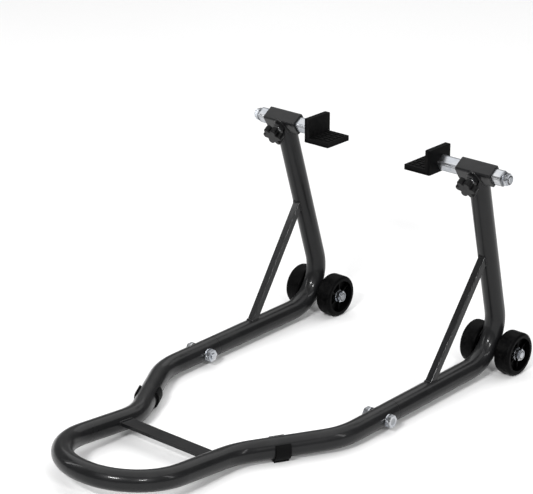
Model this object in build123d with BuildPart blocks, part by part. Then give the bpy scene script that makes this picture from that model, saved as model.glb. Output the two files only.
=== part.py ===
"""Rear paddock stand: welded tube frame on four wheels with two clamped, sliding lift pads.

Millimetres. +Z is up, +X is the rider's right-hand side, -Y is the handle end.
The origin is on the floor, at the bottom centre of the stand's box.
"""
import os
from math import atan2, cos, radians, sin, sqrt, tan

from build123d import *

os.makedirs("parts", exist_ok=True)

# ---------------------------------------------------------------- frame tube
TUBE_R = 16.0
TUBE_WALL = 2.0
TUBE_BORE_R = TUBE_R - TUBE_WALL
SPIGOT_R = TUBE_BORE_R - 0.15
RAIL_Z = 20.5
RAIL_X = 179.0
LOOP_X = 96.5
LOOP_REACH = 729.0
LOOP_RISE = 21.0
LOOP_R = 94.0
FLARE_IN_R = 100.0
FLARE_OUT_R = 110.0
HEEL_R = 64.0
LEAN = 15.7
SPLAY = 1.7

# ---------------------------------------------------------------- wheels and axles
WHEEL_R = 34.5
WHEEL_W = 28.0
WHEEL_GAP = 2.8
WHEEL_ROUND = 5.0
HUB_R = 12.0
HUB_RECESS = 8.0
RIM_BORE_R = 26.5
WEB_HALF = 4.0
BUSH_R = 8.0
AXLE_R = 5.0
AXLE_FIT = 0.06
SLEEVE_R = 10.0
SLEEVE_HALF = 16.5
SIDE_GAP = 0.3
WASHER_R = 10.0
WASHER_T = 2.0
NUT_FLATS_M10 = 17.0
NUT_H_M10 = 8.0
HEAD_H_M10 = 6.4
THREAD_PROUD = 2.0
AXLE_PROUD = 0.4
NUT_CROWN_H = 2.0
NUT_CROWN_R = 7.9

# every station along Y is measured from the axle, then carried to the origin
AXLE_Y = (LOOP_REACH + TUBE_R - WHEEL_R) / 2
AXLE_Z = WHEEL_R
HEEL_Y = AXLE_Y + 12.0
FLARE_END_Y = AXLE_Y - 380.5
FLARE_START_Y = AXLE_Y - 522.0
LOOP_Y = AXLE_Y - LOOP_REACH
SEAM_Y = AXLE_Y - 265.0
JOINT_BOLT_Y = AXLE_Y - 294.0
SPIGOT_END_Y = AXLE_Y - 322.0

# ---------------------------------------------------------------- head
HEAD_Z = 349.0
HEAD_RUN = HEAD_Z - RAIL_Z
HEAD_Y = HEEL_Y - HEAD_RUN * tan(radians(LEAN))
HEAD_X = RAIL_X + HEAD_RUN * tan(radians(SPLAY))
COLLAR_TURN = 12.0
COLLAR_W = 25.4
COLLAR_BORE_W = 19.9
COLLAR_ROUND = 3.5
COLLAR_LEN = 62.0
BAR_SIDE = 19.3
BAR_ROUND = 3.5
BAR_BORE_W = 14.0
BAR_IN_X = 122.0
BAR_OUT_X = 234.0
PLUG_T = 2.0
PLUG_DEPTH = 14.0
PLUG_BORE_R = 5.1
SCREW_R = 5.0
SCREW_FIT = 0.06
WELD_NUT_H = 7.0
NUT_POCKET = 0.4
KNOB_BACK = 24.5
KNOB_H = 13.5
KNOB_R = 18.0
KNOB_LOBES = 6
KNOB_LOBE_R = 5.5
KNOB_HUB_R = 9.0
KNOB_PAD_H = 3.0
SCREW_TIP_GAP = 0.3
CLAMP_HOLE_R = 5.6
SCREW_EDGE = 0.8
KNOB_EDGE_R = 2.0

# ---------------------------------------------------------------- lift pads
PAD_LEN = 52.0
PAD_REACH = 47.0
PAD_SHIFT = -5.0
PAD_BOTTOM_Z = 335.0
PAD_TOP_Z = 374.0
PAD_Y = HEAD_Y + PAD_SHIFT
PLATE_T = 4.0
RUBBER_T = 4.5
LUG_H = 1.2
LUG_LEN = 8.6
LUG_W = 5.4
LUG_ROUND = 1.0
LUG_PITCH_X = 11.6
LUG_PITCH_Y = 8.8
LUG_COLUMNS = 3
LUG_ROWS = 5
PAD_BOLT_R = 5.0
PAD_WASHER_R = 10.5
PAD_WASHER_EDGE = 0.2
PAD_HEAD_H = 2.4
HEAD_POCKET = 0.3
BOLT_TIP_EDGE = 0.9

# ---------------------------------------------------------------- braces and crossbar
BRACE_W = 12.0
BRACE_WALL = 1.5
BRACE_ROUND = 1.2
BRACE_FOOT_Y = AXLE_Y - 169.5
BRACE_FOOT_Z = RAIL_Z + TUBE_R
BRACE_HEAD_Z = 198.0
BAR_W = 26.0
BAR_T = 5.0
BAR_Y = AXLE_Y - 561.0
BAR_LIFT = 3.5

# ---------------------------------------------------------------- joint bolts and feet
JOINT_BOLT_R = 5.0
JOINT_HOLE_R = 5.3
JOINT_WASHER_R = 10.0
JOINT_WASHER_T = 2.0
FOOT_LEN = 23.0
FOOT_WRAP = 250.0
FOOT_T = 3.4
FOOT_SOLE_W = 16.0
FOOT_ALONG = 0.41
SOLE_ROUND = 0.8

SIDES = {"left": -1, "right": 1}


# ---------------------------------------------------------------- shared paths and planes
def rise_at(y):
    """Height of the loop's centre line where it climbs towards the handle."""
    climb = (FLARE_START_Y - y) / (FLARE_START_Y - LOOP_Y)
    return RAIL_Z + LOOP_RISE * climb


def arm_points(side, end_z):
    """Corner points of an arm's centre line, from the seam to a height on the upright."""
    run = end_z - RAIL_Z
    top = (side * (RAIL_X + run * tan(radians(SPLAY))), HEEL_Y - run * tan(radians(LEAN)), end_z)
    return [(side * RAIL_X, SEAM_Y, RAIL_Z), (side * RAIL_X, HEEL_Y, RAIL_Z), top]


def base_points():
    """Corner points of the base tube's centre line, from the left seam round to the right."""
    left = [
        (-RAIL_X, SEAM_Y, RAIL_Z),
        (-RAIL_X, FLARE_END_Y, RAIL_Z),
        (-LOOP_X, FLARE_START_Y, RAIL_Z),
        (-LOOP_X, LOOP_Y, RAIL_Z + LOOP_RISE),
    ]
    right = [(-x, y, z) for x, y, z in reversed(left)]
    return left + right


BASE_RADII = [FLARE_OUT_R, FLARE_IN_R, LOOP_R, LOOP_R, FLARE_IN_R, FLARE_OUT_R]


def head_plane(side, x):
    """Plane square to the collar's axis at x, its local y along the collar's top corner."""
    up = Vector(0, sin(radians(COLLAR_TURN)), cos(radians(COLLAR_TURN)))
    return Plane(origin=(side * x, HEAD_Y, HEAD_Z), x_dir=up.cross(Vector(side, 0, 0)), z_dir=(side, 0, 0))


def clamp_plane(side, reach):
    """Plane square to the clamp screw, facing out of the collar's lower front face."""
    dip = radians(45 - COLLAR_TURN)
    outward = Vector(0, -cos(dip), -sin(dip))
    origin = Vector(side * HEAD_X, HEAD_Y, HEAD_Z) + outward * reach
    return Plane(origin=origin, x_dir=(1, 0, 0), z_dir=outward)


def across_plane(x, y, z, side=1):
    """Plane square to X, facing outwards on its side."""
    return Plane(origin=(x, y, z), x_dir=(0, side, 0), z_dir=(side, 0, 0))


def flats_radius(flats):
    """Corner radius of a hexagon from its size across flats."""
    return flats / sqrt(3)


def save(part, name):
    """Label a finished piece and write it as its own STEP file."""
    part.label = name
    export_step(part, f"parts/{name}.step")


# ---------------------------------------------------------------- envelopes used for coped ends
def solid_tube(points, radii, radius):
    """Solid rod along a filleted path, as the outside of a bent tube."""
    with BuildPart() as rod:
        with BuildLine() as path:
            FilletPolyline(*points, radius=radii)
        with BuildSketch(path.line ^ 0):
            Circle(radius)
        sweep()
    return rod.part


def collar_cope(side):
    """Everything above the collar's two lower faces, for the V cut in the upright's top."""
    corner = COLLAR_W / sqrt(2)
    far = 3 * corner
    with BuildPart() as cope:
        with BuildSketch(head_plane(side, HEAD_X)):
            with BuildLine():
                Polyline(
                    (0, -corner),
                    (far, far - corner),
                    (far, far),
                    (-far, far),
                    (-far, far - corner),
                    (0, -corner),
                )
            make_face()
        extrude(amount=COLLAR_LEN / 2, both=True)
    return cope.part


# ---------------------------------------------------------------- base tube
def make_base_tube():
    """Handle loop, flares and rail stubs bent from one tube, drilled for the joint bolts."""
    with BuildPart() as base_tube:
        with BuildLine() as path:
            FilletPolyline(*base_points(), radius=BASE_RADII)
        with BuildSketch(path.line ^ 0):
            Circle(TUBE_R)
            Circle(TUBE_BORE_R, mode=Mode.SUBTRACT)
        sweep()
        with BuildSketch(across_plane(-RAIL_X, JOINT_BOLT_Y, RAIL_Z)):
            Circle(JOINT_HOLE_R)
        extrude(amount=2 * TUBE_R, both=True, mode=Mode.SUBTRACT)
        with BuildSketch(across_plane(RAIL_X, JOINT_BOLT_Y, RAIL_Z)):
            Circle(JOINT_HOLE_R)
        extrude(amount=2 * TUBE_R, both=True, mode=Mode.SUBTRACT)
    save(base_tube.part, "base_tube")


def make_crossbar():
    """Flat bar across the loop, its ends coped to the tube."""
    tilt = atan2(LOOP_RISE, FLARE_START_Y - LOOP_Y)
    centre = (0, BAR_Y, rise_at(BAR_Y) + BAR_LIFT)
    face = Plane(origin=centre, x_dir=(1, 0, 0), z_dir=(0, sin(tilt), cos(tilt)))
    tube = solid_tube(base_points(), BASE_RADII, TUBE_R)
    with BuildPart() as crossbar:
        with BuildSketch(face):
            Rectangle(2 * LOOP_X, BAR_W)
        extrude(amount=BAR_T / 2, both=True)
        add(tube, mode=Mode.SUBTRACT)
        keep = crossbar.solids().sort_by(SortBy.VOLUME)[-1]
        add(keep, mode=Mode.INTERSECT)
    save(crossbar.part, "crossbar")


# ---------------------------------------------------------------- arms
def make_arm(name, side):
    """Rail, heel bend and upright bent from one tube, with a reduced spigot for the base tube."""
    points = arm_points(side, HEAD_Z)
    with BuildPart() as arm:
        with BuildLine() as path:
            FilletPolyline(*points, radius=HEEL_R)
        with BuildSketch(path.line ^ 0):
            Circle(TUBE_R)
            Circle(TUBE_BORE_R, mode=Mode.SUBTRACT)
        sweep()
        add(collar_cope(side), mode=Mode.SUBTRACT)
        with BuildSketch(clamp_plane(side, 0)):
            Circle(flats_radius(NUT_FLATS_M10) + NUT_POCKET)
        extrude(amount=3 * TUBE_R, mode=Mode.SUBTRACT)
        seam = Plane(origin=(side * RAIL_X, SEAM_Y, RAIL_Z), x_dir=(1, 0, 0), z_dir=(0, -1, 0))
        with BuildSketch(seam.offset(-TUBE_WALL)):
            Circle(TUBE_BORE_R)
            Circle(SPIGOT_R - TUBE_WALL, mode=Mode.SUBTRACT)
        extrude(amount=TUBE_WALL)
        with BuildSketch(seam):
            Circle(SPIGOT_R)
            Circle(SPIGOT_R - TUBE_WALL, mode=Mode.SUBTRACT)
        extrude(amount=SEAM_Y - SPIGOT_END_Y)
        with BuildSketch(across_plane(side * RAIL_X, JOINT_BOLT_Y, RAIL_Z)):
            Circle(JOINT_HOLE_R)
        extrude(amount=2 * TUBE_R, both=True, mode=Mode.SUBTRACT)
        with BuildSketch(across_plane(side * RAIL_X, AXLE_Y, AXLE_Z)):
            Circle(SLEEVE_R)
        extrude(amount=2 * TUBE_R, both=True, mode=Mode.SUBTRACT)
    save(arm.part, name)


def make_brace(name, side):
    """Square tube strut from the rail to the upright, its ends coped to the round tube."""
    run = BRACE_HEAD_Z - RAIL_Z
    upright_y = HEEL_Y - run * tan(radians(LEAN))
    foot = Vector(side * RAIL_X, BRACE_FOOT_Y, BRACE_FOOT_Z)
    head = Vector(side * (RAIL_X + run * tan(radians(SPLAY))), upright_y - TUBE_R, BRACE_HEAD_Z)
    along = (head - foot).normalized()
    start = Plane(origin=foot - along * TUBE_R, x_dir=(1, 0, 0), z_dir=along)
    tube = solid_tube(arm_points(side, HEAD_Z), HEEL_R, TUBE_R)
    with BuildPart() as brace:
        with BuildSketch(start):
            RectangleRounded(BRACE_W, BRACE_W, BRACE_ROUND)
            Rectangle(BRACE_W - 2 * BRACE_WALL, BRACE_W - 2 * BRACE_WALL, mode=Mode.SUBTRACT)
        extrude(amount=(head - foot).length + 2 * TUBE_R)
        add(tube, mode=Mode.SUBTRACT)
        keep = brace.solids().sort_by(SortBy.VOLUME)[-1]
        add(keep, mode=Mode.INTERSECT)
    save(brace.part, name)


# ---------------------------------------------------------------- head pieces
def make_collar(name, side):
    """Square tube welded corner-up across the upright, drilled for the clamp screw."""
    with BuildPart() as collar:
        with BuildSketch(head_plane(side, HEAD_X)):
            RectangleRounded(COLLAR_W, COLLAR_W, COLLAR_ROUND, rotation=45)
            Rectangle(COLLAR_BORE_W, COLLAR_BORE_W, rotation=45, mode=Mode.SUBTRACT)
        extrude(amount=COLLAR_LEN / 2, both=True)
        with BuildSketch(clamp_plane(side, 0)):
            Circle(CLAMP_HOLE_R)
        extrude(amount=COLLAR_W, mode=Mode.SUBTRACT)
    save(collar.part, name)


def make_clamp_nut(name, side):
    """Hexagonal nut welded over the collar's clamp hole."""
    with BuildPart() as clamp_nut:
        with BuildSketch(clamp_plane(side, COLLAR_W / 2)):
            RegularPolygon(flats_radius(NUT_FLATS_M10), 6)
            Circle(SCREW_R + SCREW_FIT, mode=Mode.SUBTRACT)
        extrude(amount=WELD_NUT_H)
    save(clamp_nut.part, name)


def make_clamp_screw(name, side):
    """Threaded stud that bears on the slide bar, moulded into the knob."""
    tip = BAR_SIDE / 2 + SCREW_TIP_GAP
    with BuildPart() as clamp_screw:
        with BuildSketch(clamp_plane(side, tip)):
            Circle(SCREW_R)
        extrude(amount=KNOB_BACK + KNOB_H - KNOB_PAD_H - tip)
        chamfer(clamp_screw.edges().group_by(Axis.Y)[-1], SCREW_EDGE)
    save(clamp_screw.part, name)


def make_knob(name, side):
    """Lobed hand knob on the end of the clamp screw."""
    lobe_centre = KNOB_R - KNOB_LOBE_R
    back = clamp_plane(side, KNOB_BACK)
    with BuildPart() as knob:
        with BuildSketch(back.offset(KNOB_PAD_H)):
            Circle(lobe_centre)
            with PolarLocations(lobe_centre, KNOB_LOBES):
                Circle(KNOB_LOBE_R)
        extrude(amount=KNOB_H - KNOB_PAD_H)
        fillet(knob.faces().filter_by(GeomType.PLANE).sort_by(Axis.Y)[0].outer_wire().edges(), KNOB_EDGE_R)
        with BuildSketch(back):
            Circle(KNOB_HUB_R)
        extrude(amount=KNOB_PAD_H)
        with BuildSketch(back):
            Circle(SCREW_R + SCREW_FIT)
        extrude(amount=KNOB_H - KNOB_PAD_H + SIDE_GAP, mode=Mode.SUBTRACT)
    save(knob.part, name)


def make_slide_bar(name, side):
    """Square tube that slides in the collar and carries the pad bolt through it."""
    with BuildPart() as slide_bar:
        with BuildSketch(head_plane(side, BAR_IN_X)):
            RectangleRounded(BAR_SIDE, BAR_SIDE, BAR_ROUND, rotation=45)
            Rectangle(BAR_BORE_W, BAR_BORE_W, rotation=45, mode=Mode.SUBTRACT)
        extrude(amount=BAR_OUT_X - BAR_IN_X)
    save(slide_bar.part, name)


def make_bar_plug(name, side):
    """Flanged plug in the slide bar's outer end, bored for the pad bolt."""
    with BuildPart() as bar_plug:
        with BuildSketch(head_plane(side, BAR_OUT_X)):
            RectangleRounded(BAR_SIDE, BAR_SIDE, BAR_ROUND, rotation=45)
        extrude(amount=PLUG_T)
        with BuildSketch(head_plane(side, BAR_OUT_X)):
            Rectangle(BAR_BORE_W, BAR_BORE_W, rotation=45)
        extrude(amount=-PLUG_DEPTH)
        with BuildSketch(head_plane(side, BAR_OUT_X + PLUG_T)):
            Circle(PLUG_BORE_R)
        extrude(amount=-(PLUG_T + PLUG_DEPTH), mode=Mode.SUBTRACT)
    save(bar_plug.part, name)


# ---------------------------------------------------------------- lift pads
PAD_SEAT_X = BAR_OUT_X + PLUG_T + SIDE_GAP


def pad_profile(side, outer_x, bottom_z, top_z, thick, foot_thick):
    """L outline in the XZ plane: an upright leg outboard and a foot reaching inboard."""
    inner_x = BAR_IN_X - SIDE_GAP - PAD_REACH
    return [
        (side * outer_x, bottom_z),
        (side * outer_x, top_z),
        (side * (outer_x - thick), top_z),
        (side * (outer_x - thick), bottom_z + foot_thick),
        (side * inner_x, bottom_z + foot_thick),
        (side * inner_x, bottom_z),
        (side * outer_x, bottom_z),
    ]


def make_pad_bracket(name, side):
    """Bent steel L plate that carries the rubber, drilled for the pad bolt."""
    outer_x = BAR_IN_X - SIDE_GAP
    outline = pad_profile(side, outer_x, PAD_BOTTOM_Z, PAD_TOP_Z, PLATE_T, PLATE_T)
    with BuildPart() as pad_bracket:
        with BuildSketch(Plane.XZ.offset(-PAD_Y)):
            with BuildLine():
                Polyline(*outline)
            make_face()
        extrude(amount=PAD_LEN / 2, both=True)
        with BuildSketch(across_plane(side * outer_x, HEAD_Y, HEAD_Z)):
            Circle(PAD_BOLT_R)
        extrude(amount=PAD_LEN, both=True, mode=Mode.SUBTRACT)
        fillet(pad_bracket.edges().filter_by(Axis.X).group_by(Axis.Z)[-1], PLATE_T / 2)
    save(pad_bracket.part, name)


def make_pad_rubber(name, side):
    """Lugged rubber boot on the bracket's inner faces, hollowed over the bolt head."""
    outer_x = BAR_IN_X - SIDE_GAP - PLATE_T
    bottom = PAD_BOTTOM_Z + PLATE_T
    outline = pad_profile(side, outer_x, bottom, PAD_TOP_Z, RUBBER_T, RUBBER_T)
    inner_x = BAR_IN_X - SIDE_GAP - PAD_REACH
    tread_len = outer_x - RUBBER_T - inner_x
    tread_x = side * (inner_x + tread_len / 2)
    with BuildPart() as pad_rubber:
        with BuildSketch(Plane.XZ.offset(-PAD_Y)):
            with BuildLine():
                Polyline(*outline)
            make_face()
        extrude(amount=PAD_LEN / 2, both=True)
        with BuildSketch(Plane.XY.offset(bottom + RUBBER_T)):
            with Locations((tread_x, PAD_Y)):
                with GridLocations(LUG_PITCH_X, LUG_PITCH_Y, LUG_COLUMNS, LUG_ROWS):
                    RectangleRounded(LUG_LEN, LUG_W, LUG_ROUND)
        extrude(amount=LUG_H)
        with BuildSketch(across_plane(side * outer_x, HEAD_Y, HEAD_Z, side)):
            RegularPolygon(flats_radius(NUT_FLATS_M10) + HEAD_POCKET, 6)
        extrude(amount=-(PAD_HEAD_H + HEAD_POCKET), mode=Mode.SUBTRACT)
        fillet(pad_rubber.edges().filter_by(Axis.X).group_by(Axis.Z)[-1], PLATE_T / 2)
    save(pad_rubber.part, name)


def make_pad_bolt(name, side):
    """Hexagon bolt through the bracket and the slide bar's bore."""
    face_x = BAR_IN_X - SIDE_GAP - PLATE_T
    tip_x = PAD_SEAT_X + WASHER_T + NUT_H_M10 + THREAD_PROUD
    with BuildPart() as pad_bolt:
        with BuildSketch(across_plane(side * (face_x - PAD_HEAD_H), HEAD_Y, HEAD_Z, side)):
            RegularPolygon(flats_radius(NUT_FLATS_M10), 6)
        extrude(amount=PAD_HEAD_H)
        with BuildSketch(across_plane(side * face_x, HEAD_Y, HEAD_Z, side)):
            Circle(PAD_BOLT_R)
        extrude(amount=tip_x - face_x)
        tip = pad_bolt.faces().sort_by(Axis.X)[-1 if side > 0 else 0]
        chamfer(tip.edges(), BOLT_TIP_EDGE)
    save(pad_bolt.part, name)


def make_pad_washer(name, side):
    """Washer that caps the slide bar's outer end."""
    with BuildPart() as pad_washer:
        with BuildSketch(across_plane(side * PAD_SEAT_X, HEAD_Y, HEAD_Z, side)):
            Circle(PAD_WASHER_R)
            Circle(PAD_BOLT_R, mode=Mode.SUBTRACT)
        extrude(amount=WASHER_T)
        chamfer(pad_washer.edges(), PAD_WASHER_EDGE)
    save(pad_washer.part, name)


def make_pad_nut(name, side):
    """Lock nut on the pad bolt."""
    start = PAD_SEAT_X + WASHER_T
    with BuildPart() as pad_nut:
        with BuildSketch(across_plane(side * start, HEAD_Y, HEAD_Z, side)):
            RegularPolygon(flats_radius(NUT_FLATS_M10), 6)
        extrude(amount=NUT_H_M10 - NUT_CROWN_H)
        with BuildSketch(across_plane(side * (start + NUT_H_M10 - NUT_CROWN_H), HEAD_Y, HEAD_Z, side)):
            Circle(NUT_CROWN_R)
        extrude(amount=NUT_CROWN_H)
        with BuildSketch(across_plane(side * start, HEAD_Y, HEAD_Z, side)):
            Circle(PAD_BOLT_R)
        extrude(amount=NUT_H_M10, mode=Mode.SUBTRACT)
    save(pad_nut.part, name)


# ---------------------------------------------------------------- wheels
def wheel_station(side, inboard):
    """Centre of an arm's tube and the direction from it to one of its wheels."""
    return side * RAIL_X, side * (-1 if inboard else 1)


def make_wheel(name, side, inboard):
    """Moulded wheel: rounded tread, rim, web and a hub bored for its bush."""
    centre_x, way = wheel_station(side, inboard)
    inner = SLEEVE_HALF + WASHER_T + SIDE_GAP
    outer = inner + WHEEL_W
    middle = inner + WHEEL_W / 2
    hub_end = outer - HUB_RECESS
    start = across_plane(centre_x + way * inner, AXLE_Y, AXLE_Z, way)
    with BuildPart() as wheel:
        with BuildSketch(start):
            Circle(WHEEL_R)
        extrude(amount=WHEEL_W)
        fillet(wheel.edges(), WHEEL_ROUND)
        with BuildSketch(start):
            Circle(RIM_BORE_R)
            Circle(HUB_R, mode=Mode.SUBTRACT)
        extrude(amount=middle - inner - WEB_HALF, mode=Mode.SUBTRACT)
        with BuildSketch(start.offset(WHEEL_W)):
            Circle(RIM_BORE_R)
            Circle(HUB_R, mode=Mode.SUBTRACT)
        extrude(amount=-(WHEEL_W / 2 - WEB_HALF), mode=Mode.SUBTRACT)
        with BuildSketch(start.offset(hub_end - inner)):
            Circle(RIM_BORE_R)
        extrude(amount=HUB_RECESS, mode=Mode.SUBTRACT)
        with BuildSketch(start):
            Circle(BUSH_R)
        extrude(amount=WHEEL_W, mode=Mode.SUBTRACT)
    save(wheel.part, name)


def make_bush(name, side, inboard):
    """Steel sleeve pressed into a wheel's hub, turning on the axle bolt."""
    centre_x, way = wheel_station(side, inboard)
    inner = SLEEVE_HALF + WASHER_T + SIDE_GAP
    start = across_plane(centre_x + way * inner, AXLE_Y, AXLE_Z, way)
    with BuildPart() as bush:
        with BuildSketch(start):
            Circle(BUSH_R)
            Circle(AXLE_R + AXLE_FIT, mode=Mode.SUBTRACT)
        extrude(amount=WHEEL_W - HUB_RECESS)
    save(bush.part, name)


def make_axle_sleeve(name, side):
    """Cross sleeve welded into the back of the heel bend."""
    with BuildPart() as axle_sleeve:
        with BuildSketch(across_plane(side * RAIL_X, AXLE_Y, AXLE_Z)):
            Circle(SLEEVE_R)
            Circle(AXLE_R, mode=Mode.SUBTRACT)
        extrude(amount=SLEEVE_HALF, both=True)
    save(axle_sleeve.part, name)


AXLE_HALF = SLEEVE_HALF + 2 * WASHER_T + 2 * SIDE_GAP + WHEEL_W - HUB_RECESS


def make_axle_bolts():
    """Hexagon bolts that carry two wheels each, heads towards -X."""
    with BuildPart() as axle_bolts:
        for side in SIDES.values():
            with BuildSketch(across_plane(side * RAIL_X - AXLE_HALF - HEAD_H_M10, AXLE_Y, AXLE_Z)):
                RegularPolygon(flats_radius(NUT_FLATS_M10), 6)
            extrude(amount=HEAD_H_M10)
            with BuildSketch(across_plane(side * RAIL_X - AXLE_HALF, AXLE_Y, AXLE_Z)):
                Circle(AXLE_R)
            extrude(amount=2 * AXLE_HALF + NUT_H_M10 + AXLE_PROUD)
    save(axle_bolts.part, "axle_bolts")


def make_axle_nuts():
    """Lock nuts on the +X ends of the axle bolts."""
    with BuildPart() as axle_nuts:
        for side in SIDES.values():
            start = side * RAIL_X + AXLE_HALF
            with BuildSketch(across_plane(start, AXLE_Y, AXLE_Z)):
                RegularPolygon(flats_radius(NUT_FLATS_M10), 6)
            extrude(amount=NUT_H_M10 - NUT_CROWN_H)
            with BuildSketch(across_plane(start + NUT_H_M10 - NUT_CROWN_H, AXLE_Y, AXLE_Z)):
                Circle(NUT_CROWN_R)
            extrude(amount=NUT_CROWN_H)
            with BuildSketch(across_plane(start, AXLE_Y, AXLE_Z)):
                Circle(AXLE_R)
            extrude(amount=NUT_H_M10, mode=Mode.SUBTRACT)
    save(axle_nuts.part, "axle_nuts")


def make_axle_washers():
    """Washers each side of every wheel, on the axle bolts."""
    starts = [SLEEVE_HALF, AXLE_HALF - WASHER_T]
    with BuildPart() as axle_washers:
        for side in SIDES.values():
            for way in (-1, 1):
                for start in starts:
                    place = side * RAIL_X + way * start
                    with BuildSketch(across_plane(place, AXLE_Y, AXLE_Z, way)):
                        Circle(WASHER_R)
                        Circle(AXLE_R, mode=Mode.SUBTRACT)
                    extrude(amount=WASHER_T)
    save(axle_washers.part, "axle_washers")


# ---------------------------------------------------------------- joint fasteners
def joint_plane(side, reach):
    """Plane square to a joint bolt, at a reach outwards from the tube's centre line."""
    return across_plane(side * (RAIL_X + reach), JOINT_BOLT_Y, RAIL_Z, side)


JOINT_SEAT = TUBE_R + JOINT_WASHER_T


def make_joint_bolts():
    """Bolts through the base tube and the arm spigots, heads outboard."""
    with BuildPart() as joint_bolts:
        for side in SIDES.values():
            with BuildSketch(joint_plane(side, JOINT_SEAT)):
                RegularPolygon(flats_radius(NUT_FLATS_M10), 6)
            extrude(amount=HEAD_H_M10)
            with BuildSketch(joint_plane(side, JOINT_SEAT)):
                Circle(JOINT_BOLT_R)
            extrude(amount=-(2 * JOINT_SEAT + NUT_H_M10 + THREAD_PROUD))
    save(joint_bolts.part, "joint_bolts")


def make_joint_nuts():
    """Nuts on the inboard ends of the joint bolts."""
    with BuildPart() as joint_nuts:
        for side in SIDES.values():
            with BuildSketch(joint_plane(side, -JOINT_SEAT)):
                RegularPolygon(flats_radius(NUT_FLATS_M10), 6)
                Circle(JOINT_BOLT_R, mode=Mode.SUBTRACT)
            extrude(amount=-NUT_H_M10)
    save(joint_nuts.part, "joint_nuts")


def make_joint_washers():
    """Plain washers under the joint bolt heads and nuts."""
    with BuildPart() as joint_washers:
        for side in SIDES.values():
            for reach in (TUBE_R, -JOINT_SEAT):
                with BuildSketch(joint_plane(side, reach)):
                    Circle(JOINT_WASHER_R)
                    Circle(JOINT_BOLT_R, mode=Mode.SUBTRACT)
                extrude(amount=JOINT_WASHER_T)
    save(joint_washers.part, "joint_washers")


# ---------------------------------------------------------------- feet
def make_foot(name, side):
    """Rubber clip snapped under the flare, open on top, with a flat sole on the floor."""
    inner_end = Vector(side * LOOP_X, FLARE_START_Y, RAIL_Z)
    outer_end = Vector(side * RAIL_X, FLARE_END_Y, RAIL_Z)
    along = (outer_end - inner_end).normalized()
    centre = inner_end + (outer_end - inner_end) * FOOT_ALONG
    across = Vector(0, 0, 1).cross(along)
    section = Plane(origin=centre, x_dir=across, z_dir=along)
    half_wrap = FOOT_WRAP / 2
    outer_r = TUBE_R + FOOT_T
    mouth = radians(half_wrap - 90)
    sole_top = -outer_r / 2
    sole_h = RAIL_Z + sole_top
    with BuildPart() as foot:
        with BuildSketch(section):
            Circle(outer_r)
            with Locations((0, sole_top - sole_h / 2)):
                Rectangle(FOOT_SOLE_W, sole_h)
            with BuildLine():
                Polyline(
                    (0, 0),
                    (2 * outer_r * cos(mouth), 2 * outer_r * sin(mouth)),
                    (0, 4 * outer_r),
                    (-2 * outer_r * cos(mouth), 2 * outer_r * sin(mouth)),
                    (0, 0),
                )
            make_face(mode=Mode.SUBTRACT)
            Circle(TUBE_R, mode=Mode.SUBTRACT)
        extrude(amount=FOOT_LEN / 2, both=True)
        fillet(foot.edges().filter_by(Axis(centre, along)).group_by(Axis.Z)[-1], SOLE_ROUND)
    save(foot.part, name)


# ---------------------------------------------------------------- build everything
make_base_tube()
make_crossbar()
for word, sign in SIDES.items():
    make_arm(f"{word}_arm", sign)
    make_brace(f"{word}_brace", sign)
    make_collar(f"{word}_collar", sign)
    make_clamp_nut(f"{word}_clamp_nut", sign)
    make_clamp_screw(f"{word}_clamp_screw", sign)
    make_knob(f"{word}_knob", sign)
    make_slide_bar(f"{word}_slide_bar", sign)
    make_bar_plug(f"{word}_bar_plug", sign)
    make_pad_bracket(f"{word}_pad_bracket", sign)
    make_pad_rubber(f"{word}_pad_rubber", sign)
    make_pad_bolt(f"{word}_pad_bolt", sign)
    make_pad_washer(f"{word}_pad_washer", sign)
    make_pad_nut(f"{word}_pad_nut", sign)
    make_axle_sleeve(f"{word}_axle_sleeve", sign)
    make_foot(f"{word}_foot", sign)
    for place, inboard in (("inner", True), ("outer", False)):
        make_wheel(f"{word}_{place}_wheel", sign, inboard)
        make_bush(f"{word}_{place}_bush", sign, inboard)
make_axle_bolts()
make_axle_nuts()
make_axle_washers()
make_joint_bolts()
make_joint_nuts()
make_joint_washers()
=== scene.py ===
"""Looks of a rear paddock stand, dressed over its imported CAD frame.

Each sub-assembly is a class that builds its extra meshes and dresses its CAD
nodes. Each finish is a small frozen dataclass that makes one material.
"""
import logging
import math
from dataclasses import dataclass, field
from enum import Enum
from typing import Sequence, Union

import bpy
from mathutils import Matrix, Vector


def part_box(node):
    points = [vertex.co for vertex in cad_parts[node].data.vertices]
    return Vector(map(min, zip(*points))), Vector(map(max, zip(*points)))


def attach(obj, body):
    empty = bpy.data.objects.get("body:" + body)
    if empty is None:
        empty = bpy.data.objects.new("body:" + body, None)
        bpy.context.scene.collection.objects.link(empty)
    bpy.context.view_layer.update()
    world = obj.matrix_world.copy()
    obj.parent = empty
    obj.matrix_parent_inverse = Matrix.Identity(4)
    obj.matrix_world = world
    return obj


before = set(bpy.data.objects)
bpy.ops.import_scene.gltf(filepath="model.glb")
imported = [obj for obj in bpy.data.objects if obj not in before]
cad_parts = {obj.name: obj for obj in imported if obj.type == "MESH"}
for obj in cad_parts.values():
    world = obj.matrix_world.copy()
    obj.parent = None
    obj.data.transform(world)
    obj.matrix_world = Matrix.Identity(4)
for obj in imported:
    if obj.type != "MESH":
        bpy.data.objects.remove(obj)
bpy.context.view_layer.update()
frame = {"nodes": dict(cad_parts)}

logging.basicConfig(level=logging.INFO, format="%(name)s: %(message)s")
LOG = logging.getLogger("stand")

Number = Union[int, float]
Colour = tuple[float, float, float]
SIDES = {"left": -1.0, "right": 1.0}


# ---------------------------------------------------------------- named choices
class Slot(Enum):
    """Names of the record's material slots for the frame paint and the wheel plastic."""

    FRAME = "frame_paint"
    WHEEL = "wheel_plastic"


class Axis(Enum):
    """An axis of the row frame, as the output of a Separate XYZ node."""

    X = "X"
    Y = "Y"
    Z = "Z"


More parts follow.
